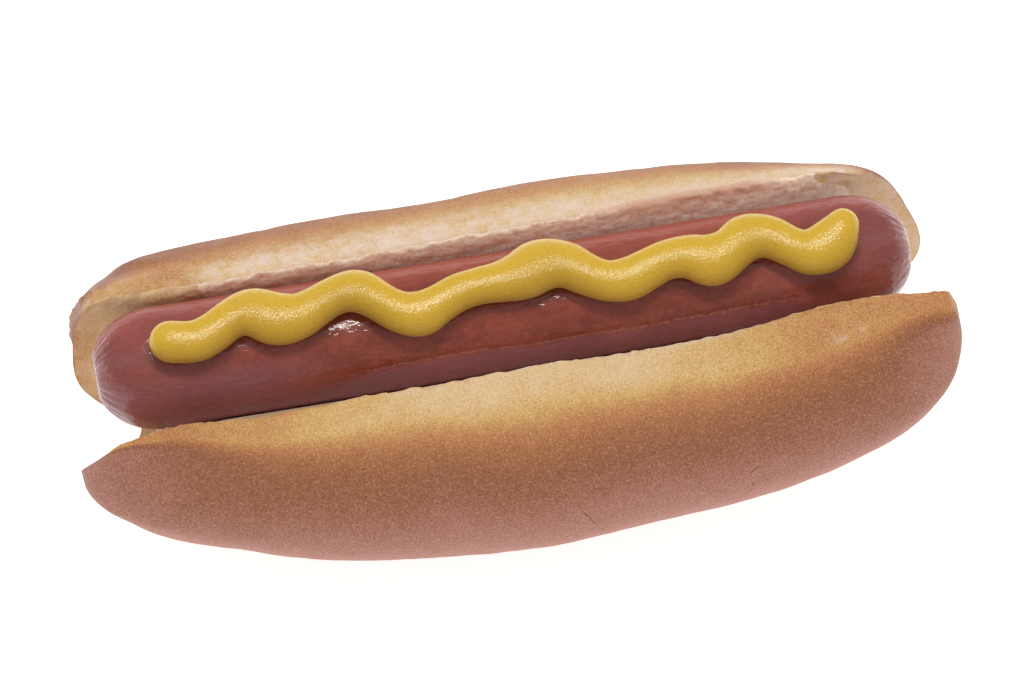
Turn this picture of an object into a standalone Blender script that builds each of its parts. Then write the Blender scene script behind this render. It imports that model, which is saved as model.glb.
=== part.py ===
"""A hot dog: a soft opened bun, a frankfurter and a wavy line of mustard.

Metres, +Z up. X runs along the bun, -Y is its front, and the origin is the middle of its underside.
The bun is one loaf, sliced along one side and opened with the hinge down, so that its pale unbaked
side is split between the two rims. The front half is the thick domed one.
"""

import math

import bmesh
import bpy
import numpy as np
from mathutils import Matrix, Vector

MM = 0.001

# Frankfurter. Its axis lies a little askew in the bun.
FRANK_LENGTH = 147.8 * MM
FRANK_RADIUS = 10.9 * MM
FRANK_AXIS_HEIGHT = 34.5 * MM
FRANK_SHIFT = -0.5 * MM
FRANK_BACKSET = 1.6 * MM
FRANK_SKEW = math.radians(1.35)
FRANK_BOW = 0.35 * MM
END_ROUNDING = 12.5 * MM
END_POWER = 2.2
PINCH_DEPTH = 1.3 * MM
PINCH_RADIUS = 2.6 * MM
PLEATS = 11
PLEAT_DEPTH = 0.45 * MM
PLEAT_LENGTH = 7.5 * MM

# Bun: the rims and the widest and lowest places of its section, measured from the frank's axis.
RIM_OUT = 14.2 * MM
RIM_UP = 6.9 * MM
WIDEST_DROP = 12.0 * MM
UNDERSIDE_DROP = 35.3 * MM
FRONT_BULGE = 37.7 * MM
BACK_BULGE = 31.8 * MM
TROUGH_GAP = 0.3 * MM
# The front rim rises towards both ends, sags right of the middle and droops at its left tip. Each
# comes in between two places along the bun.
LEFT_RIM_LIFT = 3.0 * MM
LEFT_LIFT_SPAN = (48 * MM, 62 * MM)
RIGHT_RIM_LIFT = 4.8 * MM
RIGHT_LIFT_SPAN = (30 * MM, 62 * MM)
RIM_SAG = 1.6 * MM
SAG_START = (0 * MM, 26 * MM)
SAG_END = (40 * MM, 66 * MM)
LEFT_TIP_DROP = 3.2 * MM
LEFT_TIP_SPAN = (68 * MM, 80 * MM)
# Zones of each half, from the hinge (0) to the rim (1): where the trough still follows the frank,
# where the rim's own changes begin, and where the tip's droop comes in.
FOLLOWS_FRANK_UP_TO = 0.55
RIM_ZONE = 0.7
TIP_ZONE = (0.45, 0.75)

# Bun ends: how far the halves reach, from the front rim through the hinge to the back rim.
LEFT_REACH = [v * MM for v in (73.8, 79.3, 76.0, 71.6, 67.0, 76.2, 76.3, 75.5, 68.3)]
RIGHT_REACH = [v * MM for v in (75.3, 78.2, 76.0, 71.9, 66.7, 78.4, 76.5, 71.0, 61.4)]
# How full each end is, as the two powers of a superellipse, at the front, the hinge and the back.
LEFT_POWERS = ((1.2, 2.85), (3.0, 2.2), (9.0, 2.0))
RIGHT_POWERS = ((3.35, 3.5), (3.0, 2.2), (1.6, 2.0))
# Beyond the frank's ends the cut faces spread into a round notch.
NOTCH_HALF_WIDTH = 15.5 * MM
NOTCH_DROP = 22.0 * MM
NOTCH_RIM_UP = 5.0 * MM
NOTCH_START = 52.0 * MM
NOTCH_FULL = 76.0 * MM
NOTCH_SHAPE = 1.6

# Unevenness of the risen loaf. Lengths are per radian of the waves.
LUMP_HEIGHT = 0.5 * MM
LUMP_LENGTH = 9 * MM
LUMPS_ACROSS = 4
LUMPS_FADE = 0.3
RIM_RAGGEDNESS = 0.35 * MM
RAGGED_LENGTH = 4 * MM

# Mustard: its line, as distance from the frank's left tip, distance across, towards the back, and
# half the bead's width, all at the bead's widest.
MUSTARD_LINE = [
    (along * MM, across * MM, half_width * MM)
    for along, across, half_width in (
        (14.3, -2.8, 3.75), (18.6, -3.3, 3.65), (22.2, -2.1, 3.55), (25.6, -0.2, 3.55), (29.5, 0.5, 4.5),
        (32.9, -1.4, 4.9), (36.9, -1.7, 4.15), (40.5, -0.4, 3.6), (44.1, 1.1, 3.55), (48.0, 1.4, 4.1),
        (51.1, -1.1, 3.6), (54.3, -3.7, 3.7), (58.0, -4.7, 3.95), (61.6, -3.5, 3.4), (65.3, -2.1, 3.3),
        (69.2, -1.5, 3.3), (73.4, -1.3, 3.75), (77.3, -0.6, 4.6), (80.8, 0.9, 5.05), (84.6, 0.1, 4.4),
        (87.7, -2.3, 3.85), (91.2, -4.2, 3.6), (95.1, -4.5, 3.8), (98.8, -3.4, 3.6), (102.5, -2.3, 3.5),
        (106.6, -2.4, 3.9), (110.2, -3.6, 4.65), (113.9, -2.4, 4.05), (117.3, -0.5, 4.25), (121.1, -1.2, 3.9),
        (124.3, -3.5, 3.6), (127.7, -5.2, 3.95), (131.4, -4.3, 4.4), (134.4, -1.3, 2.9),
    )
]
BEAD_HEIGHT = 5.2 * MM
BEAD_BELLY = 0.45
MELT = 0.7 * MM
MUSTARD_GAP = 0.3 * MM

# Facets
BUN_ACROSS = 40
BUN_ALONG = 44
FRANK_AROUND = 44
FRANK_END_RINGS = 9
FRANK_SPAN_RINGS = 12
PATH_POINTS = 900
MUSTARD_ALONG = 82
MUSTARD_ACROSS = 7
MUSTARD_END_SLICES = 4


def smoothstep(value, low, high):
    share = np.clip((value - low) / (high - low), 0, 1)
    return share * share * (3 - 2 * share)


def mix(a, b, share):
    return a + (b - a) * share


def through(values, share):
    """A smooth curve through equally spaced values, read at share, from 0 to 1."""
    values = np.asarray(values, float)
    last = len(values) - 1
    place = np.clip(share, 0, 1) * last
    k = np.minimum(place.astype(int), last - 1)
    f = place - k
    start, end = values[k], values[k + 1]
    slope_start = (end - values[np.maximum(k - 1, 0)]) / 2
    slope_end = (values[np.minimum(k + 2, last)] - start) / 2
    return (
        start * (2 * f**3 - 3 * f**2 + 1)
        + slope_start * (f**3 - 2 * f**2 + f)
        + end * (3 * f**2 - 2 * f**3)
        + slope_end * (f**3 - f**2)
    )


def waves(a, b, seed):
    """Soft unevenness between about -1 and 1 over two coordinates in radians."""
    draws = np.random.default_rng(seed)
    total = np.zeros(np.broadcast(a, b).shape)
    for octave in (1.0, 1.7, 2.9):
        turn, phase = draws.uniform(0, 2 * math.pi, 2)
        total += np.sin(octave * (a * math.cos(turn) + b * math.sin(turn)) + phase) / octave
    return total / 1.9


def frank_axis(x):
    """The frank's axis at x: its offset towards the back and its height."""
    bow = FRANK_BOW * (1 - (2 * x / FRANK_LENGTH) ** 2)
    return FRANK_BACKSET - math.tan(FRANK_SKEW) * x - bow, FRANK_AXIS_HEIGHT + 0 * x


def frank_radius(x):
    """The frank's radius at x, without pinch and pleats."""
    into_end = np.clip((np.abs(x - FRANK_SHIFT) - FRANK_LENGTH / 2 + END_ROUNDING) / END_ROUNDING, 0, 1)
    return FRANK_RADIUS * (1 - into_end**END_POWER) ** (1 / END_POWER)


def new_object(name, mesh, colour, roughness, metallic=0.0):
    material = bpy.data.materials.new(name)
    material.use_nodes = True
    shader = material.node_tree.nodes["Principled BSDF"]
    shader.inputs["Base Color"].default_value = (*colour, 1)
    shader.inputs["Roughness"].default_value = roughness
    shader.inputs["Metallic"].default_value = metallic
    mesh.materials.append(material)
    obj = bpy.data.objects.new(name, mesh)
    bpy.context.scene.collection.objects.link(obj)
    mesh.shade_smooth()
    mesh.set_sharp_from_angle(angle=math.radians(50))
    return obj


def mesh_from(bm, name):
    bmesh.ops.recalc_face_normals(bm, faces=bm.faces)
    mesh = bpy.data.meshes.new(name)
    bm.to_mesh(mesh)
    bm.free()
    return mesh


def grid_faces(bm, verts, closed=False):
    """Quads between the rows of a grid of vertices. A closed grid joins each row's ends."""
    columns = len(verts[0])
    for row, after in zip(verts, verts[1:]):
        for j in range(columns if closed else columns - 1):
            k = (j + 1) % columns
            corners = [row[j], row[k], after[k], after[j]]
            corners = list(dict.fromkeys(corners))
            if len(corners) > 2:
                bm.faces.new(corners)


def cut_face_mid(q):
    """The cut face at mid-length, from under the frank (q 0) to the rim (q 1): outward and up."""
    radius = FRANK_RADIUS + TROUGH_GAP
    rim_distance = math.hypot(RIM_OUT, RIM_UP)
    wrap = math.pi - math.atan2(RIM_OUT, RIM_UP) - math.acos(radius / rim_distance)
    straight = math.sqrt(rim_distance**2 - radius**2)
    length = q * (radius * wrap + straight)
    angle = np.minimum(length / radius, wrap)
    beyond = np.maximum(length - radius * wrap, 0)
    out = radius * np.sin(angle) + beyond * math.cos(wrap)
    up = -radius * np.cos(angle) + beyond * math.sin(wrap)
    return out, up


def cut_face_end(q):
    """The cut face at the bun's ends: a quarter of an oval from the notch's bottom to the rim."""
    angle = math.pi / 2 * (1 - (1 - q) ** NOTCH_SHAPE)
    out = NOTCH_HALF_WIDTH * np.sin(angle)
    up = NOTCH_RIM_UP - (NOTCH_RIM_UP + NOTCH_DROP) * np.cos(angle)
    return out, up


def crust_mid(q, bulge):
    """The crust at mid-length, from the underside (q 0) to the rim (q 1): outward and up."""
    rim_angle = np.arccos(RIM_OUT / bulge)
    top_height = (RIM_UP + WIDEST_DROP) / np.sin(rim_angle)
    angle = -math.pi / 2 + (math.pi / 2 + rim_angle) * q
    height = np.where(angle < 0, UNDERSIDE_DROP - WIDEST_DROP, top_height)
    return bulge * np.cos(angle), -WIDEST_DROP + height * np.sin(angle)


def bun_layers(s, t):
    """Cut face and crust of the bun, as two arrays of points.

    s runs from the front rim (-1) through the hinge (0) to the back rim (1), t from the left end
    (-1) to the right end (1). The layers meet where s or t is -1 or 1.
    """
    q, side = np.abs(s), np.sign(s)
    across = (s + 1) / 2
    reach = np.where(t < 0, through(LEFT_REACH, across), through(RIGHT_REACH, across))
    x = t * reach
    curve, blunt = (
        np.where(t < 0, through(left, across), through(right, across))
        for left, right in zip(zip(*LEFT_POWERS), zip(*RIGHT_POWERS))
    )
    fullness = np.maximum(1 - np.abs(t) ** curve, 0) ** (1 / blunt)

    spread = smoothstep(np.abs(x), NOTCH_START, NOTCH_FULL)
    mid_out, mid_up = cut_face_mid(q)
    end_out, end_up = cut_face_end(q)
    out = mix(mid_out, end_out, spread)
    up = mix(mid_up, end_up, spread)
    axis_y, axis_z = frank_axis(x)
    follow = 1 - smoothstep(q, FOLLOWS_FRANK_UP_TO, 1)
    near_rim = smoothstep(q, RIM_ZONE, 1)
    ragged = RIM_RAGGEDNESS * near_rim * waves(x / RAGGED_LENGTH, side, 3)
    lift = RIGHT_RIM_LIFT * smoothstep(x, *RIGHT_LIFT_SPAN) + LEFT_RIM_LIFT * smoothstep(-x, *LEFT_LIFT_SPAN)
    lift = lift - RIM_SAG * smoothstep(x, *SAG_START) * (1 - smoothstep(x, *SAG_END))
    droop = LEFT_TIP_DROP * smoothstep(-x, *LEFT_TIP_SPAN) * smoothstep(q, *TIP_ZONE)
    y = side * out + axis_y * follow
    raised = (lift * near_rim - droop) * (side < 0)
    z = axis_z + up + ragged + raised

    crust_out, crust_up = crust_mid(q, np.where(side < 0, FRONT_BULGE, BACK_BULGE))
    lumps = LUMP_HEIGHT * waves(x / LUMP_LENGTH, s * LUMPS_ACROSS, 11) * smoothstep(1 - q, 0, LUMPS_FADE)
    crust_y = side * (crust_out + lumps)
    crust_z = FRANK_AXIS_HEIGHT + crust_up + raised
    inner = np.stack(np.broadcast_arrays(x, y, z), -1)
    outer = np.stack(np.broadcast_arrays(x, mix(y, crust_y, fullness), mix(z, crust_z, fullness)), -1)
    return inner, outer


def make_bun():
    """One folded sheet of bread, thick in the middle of each half and thin at its edges."""
    s = np.sin(math.pi / 2 * np.linspace(-1, 1, BUN_ACROSS + 1))[:, None]
    t = np.sin(math.pi / 2 * np.linspace(-1, 1, BUN_ALONG + 1))[None, :]
    inner, outer = bun_layers(s, t)
    bm = bmesh.new()
    cut = [[bm.verts.new(p) for p in row] for row in inner]
    crust = [[bm.verts.new(p) for p in row] for row in outer[1:-1, 1:-1]]
    crust = [cut[0], *[[c[0], *row, c[-1]] for c, row in zip(cut[1:-1], crust)], cut[-1]]
    grid_faces(bm, cut)
    grid_faces(bm, [row[::-1] for row in crust])
    flat = bmesh.ops.bisect_plane(
        bm, geom=bm.verts[:] + bm.edges[:] + bm.faces[:], plane_no=(0, 0, -1), clear_outer=True
    )
    rim = [e for e in flat["geom_cut"] if isinstance(e, bmesh.types.BMEdge)]
    bmesh.ops.edgeloop_fill(bm, edges=rim)
    return new_object("bun", mesh_from(bm, "bun"), (0.60, 0.33, 0.15), 0.6)


def frank_ring(along, tightness, around):
    """A ring of the frank, along from its middle. Tightness is 0 on the span and 1 at the tips."""
    x = along + FRANK_SHIFT
    pleat = 1 - PLEAT_DEPTH / FRANK_RADIUS * tightness * (1 + np.cos(PLEATS * around))
    radius = frank_radius(x) * pleat
    drawn_in = PINCH_DEPTH * np.exp(-((radius / PINCH_RADIUS) ** 2))
    axis_y, axis_z = frank_axis(x)
    return np.stack(
        [x - np.sign(along) * drawn_in, axis_y + radius * np.sin(around), axis_z + radius * np.cos(around)], -1
    )


def make_frank():
    """A sausage with rounded ends, drawn in and pleated at its tips."""
    turn = np.linspace(0, math.pi / 2, FRANK_END_RINGS + 1)[1:]
    end_x = FRANK_LENGTH / 2 - END_ROUNDING * (1 - np.sin(math.pi / 2 - turn))
    half_span = FRANK_LENGTH / 2 - END_ROUNDING
    tightness = smoothstep(end_x, FRANK_LENGTH / 2 - PLEAT_LENGTH, FRANK_LENGTH / 2)
    span_x = np.linspace(-half_span, half_span, FRANK_SPAN_RINGS + 1)[1:-1]
    stations = [
        *zip(-end_x, tightness),
        *zip(span_x, np.zeros(len(span_x))),
        *zip(end_x[::-1], tightness[::-1]),
    ]
    around = np.linspace(0, 2 * math.pi, FRANK_AROUND, endpoint=False)
    bm = bmesh.new()
    rings = [[bm.verts.new(p) for p in frank_ring(np.full(FRANK_AROUND, x), k, around)] for x, k in stations]
    grid_faces(bm, rings, closed=True)
    for ring, side in ((rings[0], -1), (rings[-1], 1)):
        x = FRANK_SHIFT + side * (FRANK_LENGTH / 2 - PINCH_DEPTH)
        tip = bm.verts.new((x, *frank_axis(x)))
        for j, vert in enumerate(ring):
            bm.faces.new((vert, ring[(j + 1) % FRANK_AROUND], tip))
    return new_object("frankfurter", mesh_from(bm, "frankfurter"), (0.30, 0.07, 0.045), 0.3)


def mustard_path():
    """Closely spaced points along the mustard's line, and half the bead's width at each."""
    share = np.linspace(0, 1, PATH_POINTS)
    return [through(values, share) for values in zip(*MUSTARD_LINE)]


def melt(at):
    """Weights that even out a row of values along the bead, less and less towards its ends."""
    reach = np.minimum(MELT, 0.4 * np.minimum(at - at[0], at[-1] - at)) + 0.01 * MM
    weight = np.exp(-(((at.T - at) / reach) ** 2) / 2) * np.gradient(at[:, 0])
    return weight / weight.sum(1, keepdims=True)


def mustard_rings(slices, steps):
    """Sections of the bead across the frank, each from the front edge over the top and back below.

    The bead is what a ball drawn along the line sweeps out, so tight bends run together.
    """
    along, across, radius = mustard_path()
    first, last = (along - radius).min(), (along + radius).max()
    from_tip = 1 - np.cos(np.linspace(0, math.pi / 2, MUSTARD_END_SLICES + 2)[1:-1])
    left_end, right_end = first + radius[0] * from_tip, last - radius[-1] * from_tip[::-1]
    between = np.linspace(first + radius[0], last - radius[-1], slices)
    at = np.concatenate([left_end, between, right_end])[:, None]
    room = radius**2 - (at - along) ** 2
    chord = np.sqrt(np.maximum(room, 0))
    back = np.where(room > 0, across + chord, -np.inf).max(1, keepdims=True)
    front = np.where(room > 0, across - chord, np.inf).min(1, keepdims=True)
    even_out = melt(at)
    back, front = even_out @ back, even_out @ front
    over = mix(front, back, (1 - np.cos(np.linspace(0, math.pi, steps + 1))) / 2)
    to_line = ((at - along) ** 2)[:, None] + (over[:, :, None] - across) ** 2
    close = even_out @ np.maximum(1 - to_line / radius**2, 0).max(-1)
    top = BEAD_BELLY + (1 - BEAD_BELLY) * np.sqrt(close)
    below = BEAD_BELLY * (1 - np.sqrt(1 - (1 - close) ** 2))
    over = np.concatenate([over, over[:, -2:0:-1]], 1)
    lift = np.concatenate([top, below[:, -2:0:-1]], 1) * BEAD_HEIGHT
    x = at - FRANK_LENGTH / 2 + FRANK_SHIFT
    angle = over / (FRANK_RADIUS + BEAD_BELLY * BEAD_HEIGHT)
    distance = frank_radius(x) + MUSTARD_GAP + lift
    axis_y, axis_z = frank_axis(x)
    return np.stack([x + 0 * over, axis_y + distance * np.sin(angle), axis_z + distance * np.cos(angle)], -1)


def make_mustard():
    """A squeezed bead that lies on the frank, round at the left and pulled up at the right."""
    sections = mustard_rings(MUSTARD_ALONG, MUSTARD_ACROSS)
    bm = bmesh.new()
    rings = [[bm.verts.new(p) for p in section] for section in sections]
    grid_faces(bm, rings, closed=True)
    bm.faces.new(rings[0])
    bm.faces.new(rings[-1])
    return new_object("mustard", mesh_from(bm, "mustard"), (0.78, 0.51, 0.03), 0.35)


def centre_on_origin(objects):
    """Puts the middle of the underside of the whole at the origin."""
    points = np.array([vert.co for obj in objects for vert in obj.data.vertices])
    low, high = points.min(0), points.max(0)
    middle = Vector((*(low + high)[:2] / 2, low[2]))
    for obj in objects:
        obj.data.transform(Matrix.Translation(-middle))


def main():
    for obj in list(bpy.data.objects):
        bpy.data.objects.remove(obj)
    centre_on_origin([make_bun(), make_frank(), make_mustard()])


main()
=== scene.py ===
"""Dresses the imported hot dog: crust and crumb, sausage casing and mustard, on a plain pale floor."""

import math

import bpy
import numpy as np
from mathutils import Matrix, Vector, noise


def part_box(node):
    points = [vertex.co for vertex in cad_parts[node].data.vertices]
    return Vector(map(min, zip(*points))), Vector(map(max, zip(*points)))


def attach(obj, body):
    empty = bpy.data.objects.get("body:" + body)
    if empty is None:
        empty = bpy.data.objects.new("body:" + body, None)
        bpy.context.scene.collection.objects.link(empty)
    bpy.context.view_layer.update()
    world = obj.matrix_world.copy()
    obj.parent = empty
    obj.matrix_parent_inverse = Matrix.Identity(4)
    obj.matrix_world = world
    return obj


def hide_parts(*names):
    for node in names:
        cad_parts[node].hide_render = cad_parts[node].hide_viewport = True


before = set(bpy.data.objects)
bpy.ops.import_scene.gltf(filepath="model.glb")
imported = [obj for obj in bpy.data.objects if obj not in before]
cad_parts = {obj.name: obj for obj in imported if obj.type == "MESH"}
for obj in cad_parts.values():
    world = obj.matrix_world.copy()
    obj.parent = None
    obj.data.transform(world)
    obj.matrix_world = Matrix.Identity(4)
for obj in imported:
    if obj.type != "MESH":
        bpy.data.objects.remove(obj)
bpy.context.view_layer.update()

bl_info = {
    "name": "Hot dog",
    "version": (1, 0, 0),
    "blender": (4, 5, 0),
    "location": "3D View > Sidebar > Hot dog",
    "description": "Builds a hot dog's bun, frankfurter and mustard around its packed solids",
    "category": "Object",
}

MM = 0.001

# Frankfurter
FRANK_LENGTH = 147.8 * MM
FRANK_RADIUS = 10.9 * MM
FRANK_AXIS_HEIGHT = 34.5 * MM
FRANK_SHIFT = -0.5 * MM
FRANK_BACKSET = 1.6 * MM
FRANK_SKEW = math.radians(1.35)
FRANK_BOW = 0.35 * MM
END_ROUNDING = 12.5 * MM
END_POWER = 2.2
PINCH_DEPTH = 1.3 * MM
PINCH_RADIUS = 2.6 * MM
PLEATS = 11
PLEAT_DEPTH = 0.45 * MM
# The first ring's angle from the tip, and the number of rings over each rounded end
FIRST_RING_ANGLE = 0.03
FRANK_END_RINGS = 44
# Fine gathers at the tips: how far in from the tip they fade and are full, how many there are of both
# kinds, and how sharp their creases are
GATHER_SPAN = (-6 * MM, -1 * MM)
GATHERS = 13
SMALL_GATHERS = 29
GATHER_SHARPNESS = 0.7
GATHER_SWAY_LENGTH = 5 * MM
# The casing's slight unevenness, drawn out lengthwise
RIPPLE_SIZE = 4 * MM
RIPPLE_STRETCH = (0.4, 1, 1)
# The casing's lengthwise crease: its angle from the top towards the front, its two ends and its form
CREASE_ANGLE = math.radians(-64)
CREASE_ENDS = (-36 * MM, 56 * MM)
CREASE_FADE = 12 * MM
CREASE_DEPTH = 0.1 * MM
CREASE_WIDTH = 0.4 * MM
CREASE_WANDER = 0.5 * MM
CREASE_WANDER_LENGTH = 7 * MM
# Where the left half settles against the front cut face, and by how much
SETTLED_BY = 0.18 * MM
SETTLED_ANGLE = math.radians(-112)
SETTLED_ANGLE_WIDTH = math.radians(35)
SETTLED_START = (5 * MM, 25 * MM)
SETTLED_END = (52 * MM, 68 * MM)
# The casing's tones, by angle from the top and by place along it. The duller strip below the crease has
# a soft upper edge, softer where there is no crease, and is duller towards the left.
DULL_EDGES = (2.2 * MM, 0.8 * MM)
DULL_SHARES = (0.72, 0.5)
DULL_SHARE_SPAN = (-20 * MM, 30 * MM)
# Low on the front left the casing is painted duller and more purple, as painted reflection of the white floor
LEFT_FRONT_REFLECTION = 0.62
LEFT_FRONT_SPAN = (28 * MM, 50 * MM)
LEFT_FRONT_ANGLES = (math.radians(25), math.radians(60))
TIP_DULL = 0.25
TIP_DULL_SPAN = (-38 * MM, -12 * MM)
# The back side is painted redder and lighter, as painted light from the softbox above and behind
BACK_PAINTED_LIGHT = 0.6
BACK_PAINTED_LIGHT_ANGLES = (math.radians(-2), math.radians(40))
TIP_RED = 0.08
TIP_RED_SPAN = (-20 * MM, -4 * MM)
FAT_SHARE = 0.5
FAT_ANGLE = math.radians(-16)
FAT_ANGLE_WIDTH = math.radians(8)

# Bun, as in the solids: its section, its ends and its notches
RIM_OUT = 14.2 * MM
RIM_UP = 6.9 * MM
WIDEST_DROP = 12.0 * MM
UNDERSIDE_DROP = 35.3 * MM
FRONT_BULGE = 37.7 * MM
BACK_BULGE = 31.8 * MM
TROUGH_GAP = 0.3 * MM
# The front rim rises towards both ends, sags right of the middle and droops at its left tip. Each
# comes in between two places along the bun.
LEFT_RIM_LIFT = 3.0 * MM
LEFT_LIFT_SPAN = (48 * MM, 62 * MM)
RIGHT_RIM_LIFT = 4.8 * MM
RIGHT_LIFT_SPAN = (30 * MM, 62 * MM)
RIM_SAG = 1.6 * MM
SAG_START = (0 * MM, 26 * MM)
SAG_END = (40 * MM, 66 * MM)
LEFT_TIP_DROP = 3.2 * MM
LEFT_TIP_SPAN = (68 * MM, 80 * MM)
# Zones of each half, from the hinge (0) to the rim (1): where the trough still follows the frank,
# where the rim's own changes begin, and where the tip's droop comes in.
FOLLOWS_FRANK_UP_TO = 0.55
RIM_ZONE = 0.7
TIP_ZONE = (0.45, 0.75)
LEFT_REACH = [v * MM for v in (73.8, 79.3, 76.0, 71.6, 67.0, 76.2, 76.3, 75.5, 68.3)]
RIGHT_REACH = [v * MM for v in (75.3, 78.2, 76.0, 71.9, 66.7, 78.4, 76.5, 71.0, 61.4)]
LEFT_POWERS = ((1.2, 2.85), (3.0, 2.2), (9.0, 2.0))
RIGHT_POWERS = ((3.35, 3.5), (3.0, 2.2), (1.6, 2.0))
NOTCH_HALF_WIDTH = 15.5 * MM
NOTCH_DROP = 22.0 * MM
NOTCH_RIM_UP = 5.0 * MM
NOTCH_START = 52.0 * MM
NOTCH_FULL = 76.0 * MM
NOTCH_SHAPE = 1.6
LUMP_HEIGHT = 0.5 * MM
LUMP_LENGTH = 9 * MM
LUMPS_ACROSS = 4
LUMPS_FADE = 0.3
RIM_RAGGEDNESS = 0.35 * MM
RAGGED_LENGTH = 4 * MM

# How far from each rim the crust turns golden, at places along the bun, in millimetres
FRONT_PALE = (
    (-72, 0.6), (-56, 3.4), (-46, 5.4), (-38, 6.6), (-20, 8.4), (-1, 9.8), (17, 9.4), (35, 9), (54, 8),
    (72, 3.6),
)
BACK_PALE = (
    (-76, 2.5), (-66, 5), (-52, 8), (-38, 9.5), (-20, 10.5), (17, 12), (35, 10), (54, 7), (72, 5),
)
# How baked the crust is, against its distance from the rim in golden widths, on either half
FRONT_BAKE = (
    (0, 0.01), (0.4, 0.04), (0.6, 0.09), (0.8, 0.16), (1, 0.28), (1.2, 0.4), (1.5, 0.54), (2, 0.7),
    (2.7, 0.75),
)
BACK_BAKE = (
    (0, 0), (0.25, 0.03), (0.52, 0.12), (0.76, 0.22), (1, 0.31), (1.4, 0.46), (2, 0.62), (2.6, 0.72),
)
# The least bake of the front half towards its ends, and of the back half towards its left end
FRONT_END_BAKE = 0.3
FRONT_END_SPAN = (6 * MM, 64 * MM)
BACK_LEFT_BAKE = 0.26
BACK_LEFT_SPAN = (44 * MM, 60 * MM)
# The bake of the crust that wraps over onto the cut faces: at the left, more at its tip, and at the right
WRAP_BAKE_LEFT = 0.04
WRAP_BAKE_TIP = 0.25
WRAP_BAKE_SPAN = (68 * MM, 79 * MM)
WRAP_BAKE_RIGHT = 0.08
# Pinker between these heights and at the ends: partly the crust's own, partly painted floor reflection
PINK_HEIGHTS = (37 * MM, 21 * MM)
PINK_AT_ENDS = 0.8
PINK_ENDS = (56 * MM, 80 * MM)
PINK_SHARE = 0.3
PINK_BAKES = (0.3, 0.75)
# A pale painted sheen along the back rim: its distance from the rim, its width, how strong it is left of its
# start and how much stronger after it, and what it loses right of the middle. The left end has its own.
SHEEN_DEPTH = 2.5 * MM
SHEEN_WIDTH = 4.2 * MM
SHEEN_LEAST = 0.15
SHEEN_MORE = 0.7
SHEEN_START = (-60 * MM, -42 * MM)
SHEEN_LOSS = 0.4
SHEEN_LOSS_START = (0, 30 * MM)
SHEEN_LOSS_END = (50 * MM, 64 * MM)
LEFT_SHEEN = 0.3
LEFT_SHEEN_SPAN = (64 * MM, 76 * MM)
# Where along the bun the knife left crust over the rims, in which zones across it, and the jags there
LEFT_WRAP = -63 * MM
BACK_LEFT_WRAP = -52 * MM
BACK_LEFT_ZONE = 0.3
BACK_RIGHT_WRAP = (58 * MM, 72 * MM)
BACK_RIGHT_ZONE = (1, 0.2)
FRONT_RIGHT_WRAP = (46 * MM, 60 * MM)
FRONT_LEFT_WRAP = (14 * MM, 36 * MM)
FRONT_ZONE = (-1.01, -0.7)
JAG_LENGTH = 1.2 * MM
JAG_REACH = 2.4 * MM
JAGS_ACROSS = 14
# Where the back rim is torn open, how wide the tear is, and how far in the torn crumb has painted shade
TORN_START = (12 * MM, 28 * MM)
TORN_END = (46 * MM, 56 * MM)
TORN_WIDTH = 1.6 * MM
LEAST_TORN_WIDTH = 0.1 * MM
TORN_JAGS = 0.15
TORN_SHADE_SHARE = 0.85
TORN_SHADE_WIDTH = 2.2 * MM
# How far the knife's edges are rounded: all of them, the back one more and its left end most, and the
# right ends more
SOFT_ROWS = 60
SOFT_EDGE = 0.3 * MM
SOFT_BACK = 0.6 * MM
SOFT_LEFT = 6 * MM
SOFT_LEFT_SPAN = (50 * MM, 62 * MM)
SOFT_RIGHT = 1.6 * MM
SOFT_RIGHT_SPAN = (44 * MM, 60 * MM)
SOFT_FADE = (2.0, 3.5)
# The risen crust's swells and the torn crumb's lumps: share, size in millimetres and seed of each. They
# fade out at the edges, over these shares of the half width or the half length.
SWELLS = ((1, 7, 1), (0.5, 3, 2))
CRUMB_LUMPS = ((1, 2.4, 3), (0.7, 1.1, 4))
SWELL_FADE = (0, 0.03)
CRUMB_FADE = (0, 0.02)
# The crumb lies open in this zone towards the rims, and at both ends
OPEN_ZONE = (0.66, 0.85)
OPEN_ENDS = (71 * MM, 76 * MM)
# The rims' tears, in the same way, and how far they reach down from the rim
RIM_TEARS = ((1, 5, 7), (0.8, 1.7, 5), (1.1, 1.0, 6))
RIM_TEARS_FADE = (0, 0.03)
RIM_TEARS_APART = 5 * MM
RIM_TEARS_REACH = 0.8 * MM
# Hairline cracks of the front crust: strength, then points as place along and distance from the rim, in
# millimetres
CRACKS = (
    (
        0.45,
        ((-30, 5.8), (-29.5, 7.7), (-29.8, 11.7), (-30.2, 14.9), (-31.1, 16.6), (-33.3, 19.7), (-36, 20.7)),
    ),
    (0.4, ((0.2, 6.2), (-0.4, 9.9), (-0.4, 12.6), (1.2, 15.4), (0.8, 19.2), (1.6, 21.1))),
    (1.0, ((0.8, 19.2), (1.6, 21.1), (3.1, 23.8), (4.3, 25.8), (5.5, 27.3), (7.2, 30), (10.5, 37))),
    (0.5, ((23.2, 6.6), (24.4, 8.4), (26, 10), (28.3, 14.7), (29.2, 17.1))),
    (0.5, ((43.5, 15), (44, 17.2), (45, 19.6), (45.4, 21))),
    (0.9, ((38.9, 23.7), (36.1, 25.6), (36, 27.2), (36.6, 29), (35.4, 30.8), (34.3, 32.6))),
)
CRACK_DEPTH = 0.22 * MM
CRACK_WIDTH = 0.5 * MM
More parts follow.
